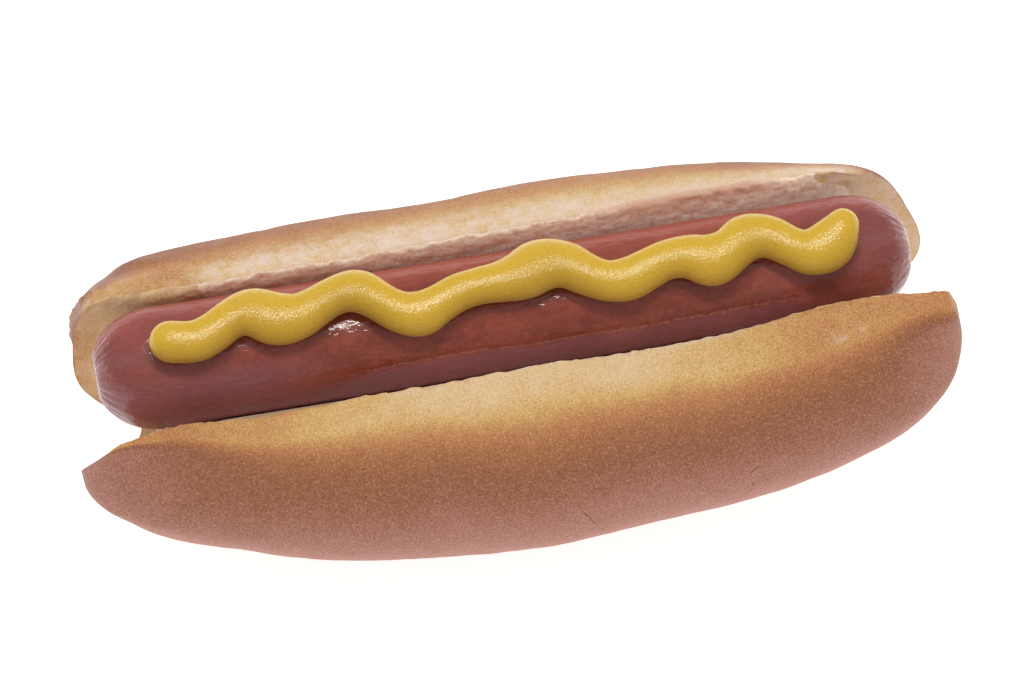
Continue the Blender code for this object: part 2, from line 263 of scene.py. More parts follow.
# Soft folds where the back half's left end wraps round the frankfurter, given in the same way. Each is a
# groove between two swells, with a fine crease line of its own.
FOLDS = (
    (1.0, ((-76.5, 14), (-74.9, 10.1), (-71.8, 4.9), (-68.7, 0.4))),
    (0.8, ((-77, 17), (-75.4, 12), (-73.4, 7.5), (-71.9, 3.5))),
    (0.7, ((-63, 3.0), (-60, 3.4), (-56, 2.2), (-52, 0.2))),
)
FOLD_DEPTH = 0.75 * MM
FOLD_WIDTH = 0.8 * MM
FOLD_SWELL = 0.4 * MM
FOLD_SWELL_AWAY = 1.6 * MM
FOLD_SWELL_WIDTH = 1.2 * MM
FOLD_LINE = 0.8
# Where the front crust has flaked: how much, place along, half length, distance from the rim, half width
FLAKED = (
    (0.5, -21, 3, 0.5, 0.6),
    (0.4, -15.5, 2.2, 0.8, 0.7),
    (0.4, -3, 4, 0.2, 0.4),
    (0.5, 30, 12, 0.1, 0.4),
    (0.7, 55, 1.3, 6.4, 0.4),
    (0.6, 59.1, 0.8, 5.3, 0.4),
)

# Mustard
MUSTARD_LINE = [
    (along * MM, across * MM, half_width * MM)
    for along, across, half_width in (
        (14.3, -2.8, 3.75), (18.6, -3.3, 3.65), (22.2, -2.1, 3.55), (25.6, -0.2, 3.55), (29.5, 0.5, 4.5),
        (32.9, -1.4, 4.9), (36.9, -1.7, 4.15), (40.5, -0.4, 3.6), (44.1, 1.1, 3.55), (48.0, 1.4, 4.1),
        (51.1, -1.1, 3.6), (54.3, -3.7, 3.7), (58.0, -4.7, 3.95), (61.6, -3.5, 3.4), (65.3, -2.1, 3.3),
        (69.2, -1.5, 3.3), (73.4, -1.3, 3.75), (77.3, -0.6, 4.6), (80.8, 0.9, 5.05), (84.6, 0.1, 4.4),
        (87.7, -2.3, 3.85), (91.2, -4.2, 3.6), (95.1, -4.5, 3.8), (98.8, -3.4, 3.6), (102.5, -2.3, 3.5),
        (106.6, -2.4, 3.9), (110.2, -3.6, 4.65), (113.9, -2.4, 4.05), (117.3, -0.5, 4.25), (121.1, -1.2, 3.9),
        (124.3, -3.5, 3.6), (127.7, -5.2, 3.95), (131.4, -4.3, 4.4), (134.4, -1.3, 2.9),
    )
]
BEAD_HEIGHT = 5.2 * MM
BEAD_BELLY = 0.45
MELT = 0.7 * MM
END_MELT = 0.4
LEAST_MELT = 0.01 * MM
MUSTARD_GAP = 0.3 * MM
SETTLING_SHARE = 0.5
# Painted shade darkens its front foot: how much, and over which shares of the ring above and below
FOOT_SHARE = 0.8
FOOT_ABOVE = (0, 0.31)
FOOT_BELOW = (0.5, 0.75)

# Colours of the small marks
LIGHT_GRAINS = "#e8bf9a"
DARK_GRAINS = "#6b3d26"
FLOUR_SPECKS = "#dfb68a"
CRACK_LIPS = "#cf9a6c"
CRACK_SPLIT = "#7a452c"
CREASE_LINE = "#a06a5e"
# How far the lines of cracks and creases wander to either side
LINE_WANDER = 0.8 * MM

# Kinds of shader node
NOISE = "ShaderNodeTexNoise"
RANGE = "ShaderNodeMapRange"
MATH = "ShaderNodeMath"
MIX = "ShaderNodeMix"
STORED = "ShaderNodeAttribute"
RAMP = "ShaderNodeValToRGB"
MAPPING = "ShaderNodeMapping"
BUMP = "ShaderNodeBump"

# Rows of points in the bun's solid, and the fineness of the meshes
SOLID_ACROSS = 41
SOLID_ALONG = 45
BUN_ACROSS = 156
BUN_ALONG = 300
ACROSS_CROWDING = 0.7
ALONG_CROWDING = 0.5
FRANK_AROUND = 176
FRANK_ALONG = 300
PATH_POINTS = 900
MUSTARD_ALONG = 620
MUSTARD_ACROSS = 20
MUSTARD_END_SLICES = 14

# The photograph's camera, for an image of 1024 x 682 pixels
IMAGE_WIDTH = 1024
IMAGE_HEIGHT = 682
MM_PER_PIXEL = 0.1775
AIM_PIXEL = (508.6, 318.3)
CLIP_START = 0.01

# The overhead softbox, in metres, and the floor just under the bun
SOFTBOX_SHIFT = 0.03
SOFTBOX_SIZE = (0.4, 0.11)
SOFTBOX_AIM = (0, 0, 0.03)
FLOOR_DROP = 0.05 * MM
WHITE = (1, 1, 1, 1)


def linear(hex_colour):
    """A linear colour from an sRGB hex value."""
    channels = [int(hex_colour[k : k + 2], 16) / 255 for k in (1, 3, 5)]
    return [c / 12.92 if c <= 0.04045 else ((c + 0.055) / 1.055) ** 2.4 for c in channels]


def smoothstep(value, low, high):
    share = np.clip((value - low) / (high - low), 0, 1)
    return share * share * (3 - 2 * share)


def mix(a, b, share):
    return a + (b - a) * share


def hump(away, width):
    """1 at nought, falling off to both sides over about the given width."""
    return np.exp(-((away / width) ** 2))


def through(values, share):
    """A smooth curve through equally spaced values, read at share, from 0 to 1."""
    values = np.asarray(values, float)
    last = len(values) - 1
    place = np.clip(share, 0, 1) * last
    k = np.minimum(place.astype(int), last - 1)
    f = place - k
    start, end = values[k], values[k + 1]
    slope_start = (end - values[np.maximum(k - 1, 0)]) / 2
    slope_end = (values[np.minimum(k + 2, last)] - start) / 2
    return (
        start * (2 * f**3 - 3 * f**2 + 1)
        + slope_start * (f**3 - 2 * f**2 + f)
        + end * (3 * f**2 - 2 * f**3)
        + slope_end * (f**3 - f**2)
    )


def waves(a, b, seed):
    """Soft unevenness between about -1 and 1 over two coordinates in radians."""
    draws = np.random.default_rng(seed)
    total = np.zeros(np.broadcast(a, b).shape)
    for octave in (1.0, 1.7, 2.9):
        turn, phase = draws.uniform(0, 2 * math.pi, 2)
        total += np.sin(octave * (a * math.cos(turn) + b * math.sin(turn)) + phase) / octave
    return total / 1.9


def grain(points, size, seed):
    """Noise between about -1 and 1 at each point, with lumps of about the given size."""
    shift = Vector((seed * 7.3, seed * 3.1, seed * 5.7))
    return np.array([noise.noise(Vector(p) / size + shift) for p in points])


def sum_grains(grid, layers):
    """The sum of some grains over a grid of points, from the share, size and seed of each."""
    flat = grid.reshape(-1, 3)
    return sum(share * grain(flat, size * MM, seed) for share, size, seed in layers).reshape(grid.shape[:-1])


def frank_axis(x):
    """The frank's axis at x: its offset towards the back and its height."""
    bow = FRANK_BOW * (1 - (2 * x / FRANK_LENGTH) ** 2)
    return FRANK_BACKSET - math.tan(FRANK_SKEW) * x - bow, FRANK_AXIS_HEIGHT + 0 * x


def frank_radius(x):
    into_end = np.clip((np.abs(x - FRANK_SHIFT) - FRANK_LENGTH / 2 + END_ROUNDING) / END_ROUNDING, 0, 1)
    return FRANK_RADIUS * (1 - into_end**END_POWER) ** (1 / END_POWER)


def cut_face_mid(q):
    """The cut face at mid-length, from under the frank (q 0) to the rim (q 1): outward and up."""
    radius = FRANK_RADIUS + TROUGH_GAP
    rim_distance = math.hypot(RIM_OUT, RIM_UP)
    wrap = math.pi - math.atan2(RIM_OUT, RIM_UP) - math.acos(radius / rim_distance)
    straight = math.sqrt(rim_distance**2 - radius**2)
    length = q * (radius * wrap + straight)
    angle = np.minimum(length / radius, wrap)
    beyond = np.maximum(length - radius * wrap, 0)
    out = radius * np.sin(angle) + beyond * math.cos(wrap)
    up = -radius * np.cos(angle) + beyond * math.sin(wrap)
    return out, up


def cut_face_end(q):
    """The cut face at the bun's ends: a quarter of an oval from the notch's bottom to the rim."""
    angle = math.pi / 2 * (1 - (1 - q) ** NOTCH_SHAPE)
    out = NOTCH_HALF_WIDTH * np.sin(angle)
    up = NOTCH_RIM_UP - (NOTCH_RIM_UP + NOTCH_DROP) * np.cos(angle)
    return out, up


def crust_mid(q, bulge):
    """The crust at mid-length, from the underside (q 0) to the rim (q 1): outward and up."""
    rim_angle = np.arccos(RIM_OUT / bulge)
    top_height = (RIM_UP + WIDEST_DROP) / np.sin(rim_angle)
    angle = -math.pi / 2 + (math.pi / 2 + rim_angle) * q
    height = np.where(angle < 0, UNDERSIDE_DROP - WIDEST_DROP, top_height)
    return bulge * np.cos(angle), -WIDEST_DROP + height * np.sin(angle)


def bun_layers(s, t):
    """Cut face and crust of the bun, as two arrays of points.

    s runs from the front rim (-1) through the hinge (0) to the back rim (1), t from the left end
    (-1) to the right end (1). The layers meet where s or t is -1 or 1.
    """
    q, side = np.abs(s), np.sign(s)
    across = (s + 1) / 2
    reach = np.where(t < 0, through(LEFT_REACH, across), through(RIGHT_REACH, across))
    x = t * reach
    curve, blunt = (
        np.where(t < 0, through(left, across), through(right, across))
        for left, right in zip(zip(*LEFT_POWERS), zip(*RIGHT_POWERS))
    )
    fullness = np.maximum(1 - np.abs(t) ** curve, 0) ** (1 / blunt)

    spread = smoothstep(np.abs(x), NOTCH_START, NOTCH_FULL)
    mid_out, mid_up = cut_face_mid(q)
    end_out, end_up = cut_face_end(q)
    out = mix(mid_out, end_out, spread)
    up = mix(mid_up, end_up, spread)
    axis_y, axis_z = frank_axis(x)
    follow = 1 - smoothstep(q, FOLLOWS_FRANK_UP_TO, 1)
    near_rim = smoothstep(q, RIM_ZONE, 1)
    ragged = RIM_RAGGEDNESS * near_rim * waves(x / RAGGED_LENGTH, side, 3)
    lift = RIGHT_RIM_LIFT * smoothstep(x, *RIGHT_LIFT_SPAN) + LEFT_RIM_LIFT * smoothstep(-x, *LEFT_LIFT_SPAN)
    lift = lift - RIM_SAG * smoothstep(x, *SAG_START) * (1 - smoothstep(x, *SAG_END))
    droop = LEFT_TIP_DROP * smoothstep(-x, *LEFT_TIP_SPAN) * smoothstep(q, *TIP_ZONE)
    y = side * out + axis_y * follow
    raised = (lift * near_rim - droop) * (side < 0)
    z = axis_z + up + ragged + raised

    crust_out, crust_up = crust_mid(q, np.where(side < 0, FRONT_BULGE, BACK_BULGE))
    lumps = LUMP_HEIGHT * waves(x / LUMP_LENGTH, s * LUMPS_ACROSS, 11) * smoothstep(1 - q, 0, LUMPS_FADE)
    crust_y = side * (crust_out + lumps)
    crust_z = FRANK_AXIS_HEIGHT + crust_up + raised
    inner = np.stack(np.broadcast_arrays(x, y, z), -1)
    outer = np.stack(np.broadcast_arrays(x, mix(y, crust_y, fullness), mix(z, crust_z, fullness)), -1)
    return inner, outer


def spread_out(count, crowding):
    """Places from -1 to 1, crowded towards both ends."""
    even = np.linspace(-1, 1, count + 1)
    return mix(even, np.sin(math.pi / 2 * even), crowding)


def frame_shift():
    """How far the shapes worked out here are moved to stand in the frame, as the solids were."""
    s = np.sin(math.pi / 2 * np.linspace(-1, 1, SOLID_ACROSS))[:, None]
    t = np.sin(math.pi / 2 * np.linspace(-1, 1, SOLID_ALONG))[None, :]
    points = np.concatenate([layer.reshape(-1, 3) for layer in bun_layers(s, t)])
    low, high = points.min(0), points.max(0)
    box_low, box_high = (np.array(corner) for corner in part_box("bun"))
    shift = (box_low + box_high - low - high) / 2
    shift[2] = 0
    return shift


SHIFT = frame_shift()


def feed(tree, node, inputs):
    """Links or sets a node's inputs, given by name or number, or in the node's own order."""
    for name, value in inputs.items() if isinstance(inputs, dict) else enumerate(inputs):
        if isinstance(value, bpy.types.NodeSocket):
            tree.links.new(value, node.inputs[name])
        else:
            node.inputs[name].default_value = value


def add(tree, kind, inputs=(), output=0, stops=(), **settings):
    """Adds a node with its settings, inputs and colour stops, and gives one of its outputs."""
    node = tree.nodes.new(kind)
    for name, value in settings.items():
        setattr(node, name, value)
    feed(tree, node, inputs)
    for k, (place, colour) in enumerate(stops):
        elements = node.color_ramp.elements
        element = elements[k] if k < 2 else elements.new(place)
        element.position = place
        element.color = (*colour, 1)
    return node.outputs[output]


def new_material(name):
    """An empty material with its node tree, surface shader and object coordinates."""
    material = bpy.data.materials.new(name)
    material.use_nodes = True
    tree = material.node_tree
    shader = tree.nodes["Principled BSDF"]
    return material, tree, shader, add(tree, "ShaderNodeTexCoord", output="Object")


def crack_lines(tree, place, name, half_width):
    """1 on the line where the named offset is nought, wandering a little, and 0 away from it."""
    rough = add(tree, NOISE, {"Vector": place, "Scale": 1 / (2 * MM), "Detail": 5, "Roughness": 0.75})
    wander = add(tree, RANGE, (rough, 0, 1, -LINE_WANDER, LINE_WANDER))
    offset = add(tree, STORED, output="Fac", attribute_name=name + "_offset")
    moved = add(tree, MATH, (offset, wander), operation="ADD")
    away = add(tree, MATH, (moved,), operation="ABSOLUTE")
    near = add(tree, RANGE, (away, 0.35 * half_width, half_width, 1, 0))
    weight = add(tree, STORED, output="Fac", attribute_name=name + "_weight")
    return add(tree, MATH, (near, weight), operation="MULTIPLY")


def baked_colour(tree, place, grit, settings):
    """The crust's colour by how baked it is, in broad clouds, in spots of 2 to 3 mm and in fine grain."""
    clouds = add(tree, NOISE, {"Vector": place, "Scale": 1 / (14 * MM), "Detail": 4, "Roughness": 0.6})
    spots = add(tree, NOISE, {"Vector": place, "Scale": 1 / (2.4 * MM), "Detail": 3, "Roughness": 0.6})
    baked = add(tree, STORED, output="Fac", attribute_name="bake")
    for pattern, change in ((clouds, 0.13), (spots, 0.07), (grit, 0.36)):
        moved = add(tree, RANGE, (pattern, 0, 1, -change, change))
        baked = add(tree, MATH, (baked, moved), operation="ADD")
    stops = (
        (0.0, settings.pale),
        (1.0, settings.underside),
        (0.13, settings.straw),
        (0.3, settings.golden),
        (0.5, settings.tan),
        (0.74, settings.brown),
    )
    return add(tree, RAMP, {"Fac": baked}, stops=stops)


def crust_tints(tree, place, grit, core, settings):
    """The crust's small marks, in the order in which they lie on it: a colour and its share for each."""
    # Some grains of the crust stay lighter, and others brown more
    grains = add(tree, NOISE, {"Vector": place, "Scale": 1 / (0.36 * MM), "Detail": 3, "Roughness": 0.75})
    lighter = add(tree, RANGE, (grains, 0.36, 0.51, 0.24, 0))
    darker = add(tree, RANGE, (grains, 0.49, 0.66, 0, 0.26))
    # A few flour specks, about half a millimetre wide
    cells = add(tree, "ShaderNodeTexVoronoi", {"Vector": place, "Scale": 1 / (4 * MM)})
    specks = add(tree, RANGE, (cells, 0.03, 0.06, 0.35, 0))
    # The painted sheen lies in patches of about 3 mm
    patches = add(tree, NOISE, {"Vector": place, "Scale": 1 / (3 * MM), "Detail": 5, "Roughness": 0.7})
    sheen_patches = add(tree, RANGE, (patches, 0.38, 0.6, 0.1, 1))
    sheen_and_flakes = add(tree, STORED, output="Fac", attribute_name="sheen_and_flakes")
    sheen_and_flakes = add(tree, MATH, (sheen_patches, sheen_and_flakes), operation="MULTIPLY")
    # The lips of the cracks and creases have flaked pale here and there, and their split is dark
    flaked = add(tree, RANGE, (grit, 0.5, 0.62, 0, 0.8))
    lip = crack_lines(tree, place, "crack", 0.6 * MM)
    lip = add(tree, MATH, (lip, flaked), operation="MULTIPLY")
    split = add(tree, RANGE, (core, 0, 1, 0, 0.75))
    return (
        (linear(LIGHT_GRAINS), lighter),
        (linear(DARK_GRAINS), darker),
        (linear(FLOUR_SPECKS), specks),
        (settings.sheen_and_flakes, sheen_and_flakes),
        (linear(CRACK_LIPS), lip),
        (linear(CRACK_SPLIT), split),
    )


def crust_material(settings):
    """Soft wheat crust, baked: pale where loaves touched, browner where they stood free.

    It is nearly matt, with a faint satin sheen.
    """
    material, tree, shader, place = new_material("baked_wheat_crust")
    # Fine crust grain is about 0.3 mm
    grit = add(tree, NOISE, {"Vector": place, "Scale": 1 / (0.28 * MM), "Detail": 3, "Roughness": 0.75})
    # The cracks' dark cores are broken by gaps of 1 to 2 mm
    gaps = add(tree, NOISE, {"Vector": place, "Scale": 1 / (1.6 * MM), "Detail": 2, "Roughness": 0.6})
    broken = add(tree, RANGE, (gaps, 0.4, 0.55, 0.15, 1))
    core = crack_lines(tree, place, "crack", 0.19 * MM)
    core = add(tree, MATH, (core, broken), operation="MULTIPLY")
    colour = baked_colour(tree, place, grit, settings)
    for tint, share in crust_tints(tree, place, grit, core, settings):
        colour = add(tree, MIX, {0: share, 6: colour, 7: (*tint, 1)}, 2, data_type="RGBA")
    # Pores of about 1.5 mm and the cracks are sunk, and the grain stands up
    pores = add(tree, NOISE, {"Vector": place, "Scale": 1 / (1.5 * MM), "Detail": 5, "Roughness": 0.6})
    cracked = add(tree, RANGE, (core, 0, 1, 0, -1.6))
    sunk = add(tree, MATH, (pores, cracked), operation="ADD")
    coarse = add(tree, BUMP, {"Height": sunk, "Distance": 0.12 * MM, "Strength": 0.5})
    fine = add(tree, BUMP, {"Height": grit, "Distance": 0.07 * MM, "Strength": 0.8, "Normal": coarse})
    finish = {
        "Base Color": colour,
        "Normal": fine,
        "Roughness": add(tree, RANGE, (grit, 0, 1, 0.5, 0.72)),
        "IOR": 1.45,
        "Specular IOR Level": 0.3,
        "Sheen Weight": 0.08,
        "Sheen Roughness": 0.35,
        "Subsurface Weight": 0.08,
        "Subsurface Scale": 1.5 * MM,
        "Subsurface Radius": (1.0, 0.5, 0.25),
    }
    feed(tree, shader, finish)
    return material


def crumb_material(settings):
    """Open wheat crumb, torn by the knife: pale walls round small darker pores.

    It is matt and a little see-through.
    """
    material, tree, shader, place = new_material("open_wheat_crumb")
    # The slice smears the pores lengthwise
    smeared = add(tree, MAPPING, {"Vector": place, "Scale": (0.7, 1.0, 1.0)})
    # Crumb pores are about 1 mm, in clouds of about 5 mm
    pores = add(tree, NOISE, {"Vector": smeared, "Scale": 1 / (0.7 * MM), "Detail": 4, "Roughness": 0.75})
    clouds = add(tree, NOISE, {"Vector": smeared, "Scale": 1 / (5 * MM), "Detail": 4, "Roughness": 0.6})
    mixed = add(tree, MIX, {0: 0.85, 2: clouds, 3: pores})
    stops = ((0.37, settings.crumb_shade), (0.58, settings.crumb_light), (0.48, settings.crumb_mid))
    colour = add(tree, RAMP, {"Fac": mixed}, stops=stops)
    # Painted shade darkens the torn crumb just under the crust
    torn_shade = add(tree, STORED, output="Fac", attribute_name="torn_shade")
    inputs = {0: torn_shade, 6: colour, 7: (*settings.crumb_torn_shade, 1)}
    finish = {
        "Base Color": add(tree, MIX, inputs, 2, data_type="RGBA"),
        "Normal": add(tree, BUMP, {"Height": mixed, "Distance": 0.25 * MM, "Strength": 0.8}),
        "Roughness": 0.8,
        "IOR": 1.4,
        "Specular IOR Level": 0.3,
        "Subsurface Weight": 0.45,
        "Subsurface Scale": 2.5 * MM,
        "Subsurface Radius": (1.0, 0.7, 0.5),
    }
    feed(tree, shader, finish)
    return material


def casing_material(settings):
    """Sausage casing, smoked and heated: a thin wet-looking skin, finely wrinkled, over dense meat."""
    material, tree, shader, place = new_material("smoked_sausage_casing")
    clouds = add(tree, NOISE, {"Vector": place, "Scale": 1 / (9 * MM), "Detail": 5, "Roughness": 0.6})
    # Meat grain under the skin is about 0.7 mm, and the skin's wrinkles are about 1.2 mm
    meat = add(tree, NOISE, {"Vector": place, "Scale": 1 / (0.7 * MM), "Detail": 3, "Roughness": 0.6})
    drawn = add(tree, MAPPING, {"Vector": place, "Scale": (0.5, 1.0, 1.0)})
    wrinkles = add(tree, NOISE, {"Vector": drawn, "Scale": 1 / (1.2 * MM), "Detail": 3, "Roughness": 0.55})
    grained = add(tree, MIX, {0: 0.5, 2: meat, 3: wrinkles})
    tone = add(tree, MIX, {0: 0.5, 2: clouds, 3: grained})
    stops = ((0.36, settings.deep), (0.64, settings.rosy), (0.5, settings.casing))
    colour = add(tree, RAMP, {"Fac": tone}, stops=stops)
    painted_light_and_dryness = add(tree, STORED, output="Fac", attribute_name="painted_light_and_dryness")
    dull_band_and_floor_reflection = add(tree, STORED, output="Fac", attribute_name="dull_band_and_floor_reflection")
    patchy = add(tree, RANGE, (meat, 0.38, 0.6, 0.1, 0.8))
    crease = crack_lines(tree, place, "crease", 0.26 * MM)
    crease = add(tree, MATH, (crease, patchy), operation="MULTIPLY")
    # Back redder as painted light, tips a little redder, low front duller with some painted floor reflection
    tints = ((settings.red, painted_light_and_dryness), (settings.dull, dull_band_and_floor_reflection), (linear(CREASE_LINE), crease))
    for tint, share in tints:
        colour = add(tree, MIX, {0: share, 6: colour, 7: (*tint, 1)}, 2, data_type="RGBA")
    # It is drier where it lies against the crumb, and wettest with fat along the mustard's front edge
    dry = add(tree, RANGE, (painted_light_and_dryness, 0.1, 0.6, 0.5, 0.15))
    fat = add(tree, STORED, output="Fac", attribute_name="fat")
    finish = {
        "Base Color": colour,
        "Normal": add(tree, BUMP, {"Height": wrinkles, "Distance": 0.27 * MM, "Strength": 0.8}),
        "Roughness": add(tree, RANGE, (clouds, 0.3, 0.7, 0.06, 0.22)),
        "Specular IOR Level": add(tree, MATH, (dry, fat), operation="ADD"),
        "IOR": 1.42,
        "Subsurface Weight": 0.12,
        "Subsurface Scale": 2.0 * MM,
        "Subsurface Radius": (1.0, 0.3, 0.2),
    }
    feed(tree, shader, finish)
    return material


def mustard_material(settings):
    """Yellow mustard, squeezed: a smooth thick paste with fine ground seed.

    It is glossy and a little see-through.
    """
    material, tree, shader, place = new_material("squeezed_yellow_mustard")
    # Ground seed is about 0.5 mm
    seed = add(tree, NOISE, {"Vector": place, "Scale": 1 / (0.5 * MM), "Detail": 3, "Roughness": 0.7})
    stops = ((0.3, settings.seed), (0.64, settings.bright), (0.44, settings.paste))
    colour = add(tree, RAMP, {"Fac": seed}, stops=stops)
    # Painted shade deepens its front foot's colour, where it turns from the light, and the foot is less
    # glossy
    shaded_foot = add(tree, STORED, output="Fac", attribute_name="shaded_foot")
    inputs = {0: shaded_foot, 6: colour, 7: (*settings.shaded_foot, 1)}
    # The seed grains stand up under the oily film
    grains = add(tree, NOISE, {"Vector": place, "Scale": 1 / (0.45 * MM), "Detail": 2, "Roughness": 0.6})
    finish = {
        "Base Color": add(tree, MIX, inputs, 2, data_type="RGBA"),
        "Normal": add(tree, BUMP, {"Height": grains, "Distance": 0.17 * MM, "Strength": 0.8}),
        "Roughness": 0.18,
        "Specular IOR Level": add(tree, RANGE, (shaded_foot, 0, 0.6, 0.75, 0)),
        "IOR": 1.45,
        "Subsurface Weight": 0.08,
        "Subsurface Scale": 1.6 * MM,
        "Subsurface Radius": (1.0, 0.7, 0.12),
    }
    feed(tree, shader, finish)
    return material


def new_piece(name, points, faces, materials, slots=None):
    """A smooth mesh piece that rides on the whole."""
    mesh = bpy.data.meshes.new(name)
    mesh.from_pydata((points + SHIFT).tolist(), [], faces)
    for material in materials:
        mesh.materials.append(material)
    if slots is not None:
        mesh.polygons.foreach_set("material_index", np.asarray(slots, np.int32))
    mesh.validate()
    mesh.shade_smooth()
    piece = bpy.data.objects.new(name, mesh)
    bpy.context.scene.collection.objects.link(piece)
    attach(piece, "root")
    return piece


def keep_values(piece, name, values):
    """Stores a value for each vertex, for the material to read."""
    attribute = piece.data.attributes.new(name, "FLOAT", "POINT")
    attribute.data.foreach_set("value", np.asarray(values, np.float32))


def quads(index):
    """The four corners of each quad of a grid of vertex numbers."""
    corners = [index[:-1, :-1], index[:-1, 1:], index[1:, 1:], index[1:, :-1]]
    return np.stack(corners, -1).reshape(-1, 4)


def grid_normals(grid):
    normal = np.cross(np.gradient(grid, axis=0), np.gradient(grid, axis=1))
    return normal / np.maximum(np.linalg.norm(normal, axis=-1, keepdims=True), 1e-12)


def strip_width(table, x):
    places, widths = np.array(table).T * MM
    return np.interp(x, places, widths)


def line_field(x, r, lines):
    """Signed distance to the nearest of some lines, and how strong it is there, fading at its ends."""
    nearest = np.full(x.shape, np.inf)
    offset, weight = np.zeros(x.shape), np.zeros(x.shape)
    for strength, points in lines:
        points = np.array(points) * MM
        lengths = np.hypot(*np.diff(points, axis=0).T)
        total, run = lengths.sum(), 0.0
        for (x0, r0), (x1, r1), length in zip(points, points[1:], lengths):
            along = np.clip(((x - x0) * (x1 - x0) + (r - r0) * (r1 - r0)) / length**2, 0, 1)
            across = ((x - x0) * (r1 - r0) - (r - r0) * (x1 - x0)) / length
            away = np.hypot(x - mix(x0, x1, along), r - mix(r0, r1, along))
            place = run + along * length
            fade = strength * smoothstep(np.minimum(place, total - place), 0, 0.2 * total)
            closer = away < nearest
            nearest = np.where(closer, away, nearest)
            offset = np.where(closer, np.where(across < 0, -away, away), offset)
            weight = np.where(closer, fade, weight)
            run += length
    return offset, weight


def bake_field(points, r, back):
    """How baked the crust is, 0 to 1, from its place and its distance from the rim."""
    x, height = points[..., 0], points[..., 2]
    front = np.interp(r / strip_width(FRONT_PALE, x), *np.array(FRONT_BAKE).T)
    front = np.maximum(front, FRONT_END_BAKE * smoothstep(np.abs(x), *FRONT_END_SPAN))
    behind = np.interp(r / strip_width(BACK_PALE, x), *np.array(BACK_BAKE).T)
    behind = np.maximum(behind, BACK_LEFT_BAKE * smoothstep(-x, *BACK_LEFT_SPAN))
    baked = np.where(back, behind, front)
    # Pinker low on the sides and at the ends: partly the crust's own colour, partly painted reflection
    pink_and_reflection = np.maximum(smoothstep(height, *PINK_HEIGHTS), PINK_AT_ENDS * smoothstep(np.abs(x), *PINK_ENDS))
    return baked + PINK_SHARE * pink_and_reflection * smoothstep(baked, *PINK_BAKES)


def sheen_and_flake_field(x, r, back):
    """Where the crust is paler: a painted sheen along the back rim, and flaked crust on the front rim."""
    strip = hump(r - SHEEN_DEPTH, SHEEN_WIDTH) * (SHEEN_LEAST + SHEEN_MORE * smoothstep(x, *SHEEN_START))
    loss = smoothstep(x, *SHEEN_LOSS_START) * (1 - smoothstep(x, *SHEEN_LOSS_END))
    strip = np.maximum(strip * (1 - SHEEN_LOSS * loss), LEFT_SHEEN * smoothstep(-x, *LEFT_SHEEN_SPAN))
    flaked = sum(
        much * hump(x - place * MM, length * MM) * hump(r - depth * MM, width * MM)
        for much, place, length, depth, width in FLAKED
    )
    return np.where(back, strip, np.minimum(flaked, 1))


def torn_rim(x, back):
    """How far the back rim is torn open towards the right, from 0 to 1."""
    return np.where(back, smoothstep(x, *TORN_START) * (1 - smoothstep(x, *TORN_END)), 0)


def bun_grids():
    s = spread_out(BUN_ACROSS, ACROSS_CROWDING)[:, None]
    t = spread_out(BUN_ALONG, ALONG_CROWDING)[None, :]
    inner, outer = bun_layers(s, t)
    return s, t, inner, outer


def rim_distance(grid):
    """Distance over the surface from the nearer rim, at each point of a grid."""
    steps = np.linalg.norm(np.diff(grid, axis=0), axis=-1)
    run = np.concatenate([np.zeros((1, grid.shape[1])), np.cumsum(steps, 0)])
    return np.minimum(run, run[-1] - run)


def soften_rims(inner, outer):
    """Rounds the knife's edge a little, and the back half's left end, where crust wraps round, a lot."""
    for first, step in ((0, 1), (-1, -1)):
        near = slice(first, first + step * SOFT_ROWS, step)
        line = np.concatenate([outer[near][::-1], inner[near][1:]])
        run = np.cumsum(np.linalg.norm(np.diff(line, axis=0, prepend=line[:1]), axis=-1), 0)
        run = run - run[SOFT_ROWS - 1]
        rim_x = line[SOFT_ROWS - 1, :, 0]
        back_reach = SOFT_BACK + SOFT_LEFT * smoothstep(-rim_x, *SOFT_LEFT_SPAN)
        reach = SOFT_EDGE + back_reach * (step < 0)
        reach = reach + SOFT_RIGHT * smoothstep(rim_x, *SOFT_RIGHT_SPAN)
        weight = np.exp(-(((run[:, None] - run[None]) / reach) ** 2) / 2) * np.gradient(run, axis=0)[None]
        smooth = np.einsum("abc,bck->ack", weight / weight.sum(1, keepdims=True), line)
        share = 1 - smoothstep(np.abs(run) / reach, *SOFT_FADE)
        line = mix(line, smooth, share[..., None])
        outer[near] = line[:SOFT_ROWS][::-1]
        inner[near] = line[SOFT_ROWS - 1 :]
    return inner, outer


def crust_lines(zone, x, r):
    """Fine lines of the crust, then its folds, each as a signed distance and a weight.

    The lines are the front half's cracks and the creases in the back half's folds.
    """
    crack_offset, crack_weight = line_field(x, r, CRACKS)
    fold_offset, fold_weight = line_field(x, r, FOLDS)
    fold_weight = np.where(zone > 0, fold_weight, 0)
    line_offset = np.where(zone < 0, crack_offset, fold_offset)
    line_weight = np.where(zone < 0, crack_weight, FOLD_LINE * fold_weight)
    return (line_offset, line_weight), (fold_offset, fold_weight)


def roughen_crust(outer, edge, lines, folds, settings):
    """Adds the risen crust's unevenness, its cracks and its folds."""
    push = settings.crust_relief * sum_grains(outer, SWELLS) * smoothstep(1 - edge, *SWELL_FADE)
    offset, weight = lines
    push -= CRACK_DEPTH * weight**2 * hump(offset, CRACK_WIDTH)
    offset, weight = folds
    push -= FOLD_DEPTH * weight * hump(offset, FOLD_WIDTH)
    push += FOLD_SWELL * weight * hump(np.abs(offset) - FOLD_SWELL_AWAY, FOLD_SWELL_WIDTH)
    return outer - push[..., None] * grid_normals(outer)


